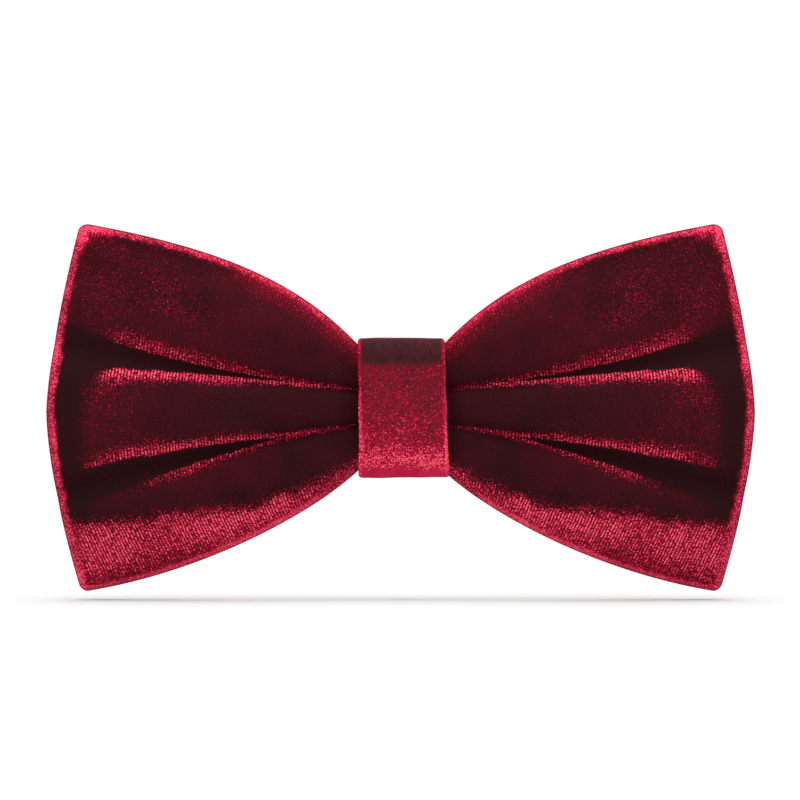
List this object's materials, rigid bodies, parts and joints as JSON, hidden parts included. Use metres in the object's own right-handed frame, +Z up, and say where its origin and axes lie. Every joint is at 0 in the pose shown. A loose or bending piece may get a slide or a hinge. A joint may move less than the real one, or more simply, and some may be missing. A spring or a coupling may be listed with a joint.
{
  "type": "bow tie",
  "caption": "Ready-tied butterfly bow tie in dark crimson velvet with pleated wings, a plain knot and a sprung collar clip behind it.",
  "frame": {"origin": "middle of the clip plate's rear face, where the collar lies", "axes": "+X across the bow to the right as seen from the front, +Y from the bow towards the collar, +Z up; the front faces -Y"},
  "size_m": [0.12, 0.0161, 0.062],
  "materials": {
    "velvet": "deep-pile dark crimson velvet with fine ribs and a bright sheen at its edges",
    "interlining": "stiff matt woven interlining",
    "thread": "dark red polyester sewing thread",
    "ribbon": "black grosgrain ribbon",
    "nickel": "bright nickel-plated pressed steel",
    "spring_steel": "plain drawn spring wire"
  },
  "bodies": {
    "bow": {"front_panel": "velvet", "back_panel": "velvet", "interlining": "interlining", "edge_seam": "thread", "waist_thread": "thread", "knot_wrap": "velvet", "knot_lining": "interlining", "knot_stitches": "thread", "clip_keeper": "ribbon", "keeper_stitches": "thread", "clip_base": "nickel", "pin_left": "nickel", "pin_right": "nickel", "spring_left": "spring_steel", "spring_right": "spring_steel"},
    "left_jaw": {"jaw_left": "nickel"},
    "right_jaw": {"jaw_right": "nickel"}
  },
  "joints": [
    {"name": "left_jaw_hinge", "type": "hinge", "parent": "bow", "child": "left_jaw", "pos_m": [-0.0085, 0.0019, 0], "axis": [0, 0, -1], "range_deg": [0, 30], "stiffness_Nm_per_rad": 0.004, "springref_deg": -85.94, "deforming": ["spring_left"]},
    {"name": "right_jaw_hinge", "type": "hinge", "parent": "bow", "child": "right_jaw", "pos_m": [0.0085, 0.0019, 0], "axis": [0, 0, 1], "range_deg": [0, 30], "stiffness_Nm_per_rad": 0.004, "springref_deg": -85.94, "deforming": ["spring_right"]}
  ]
}
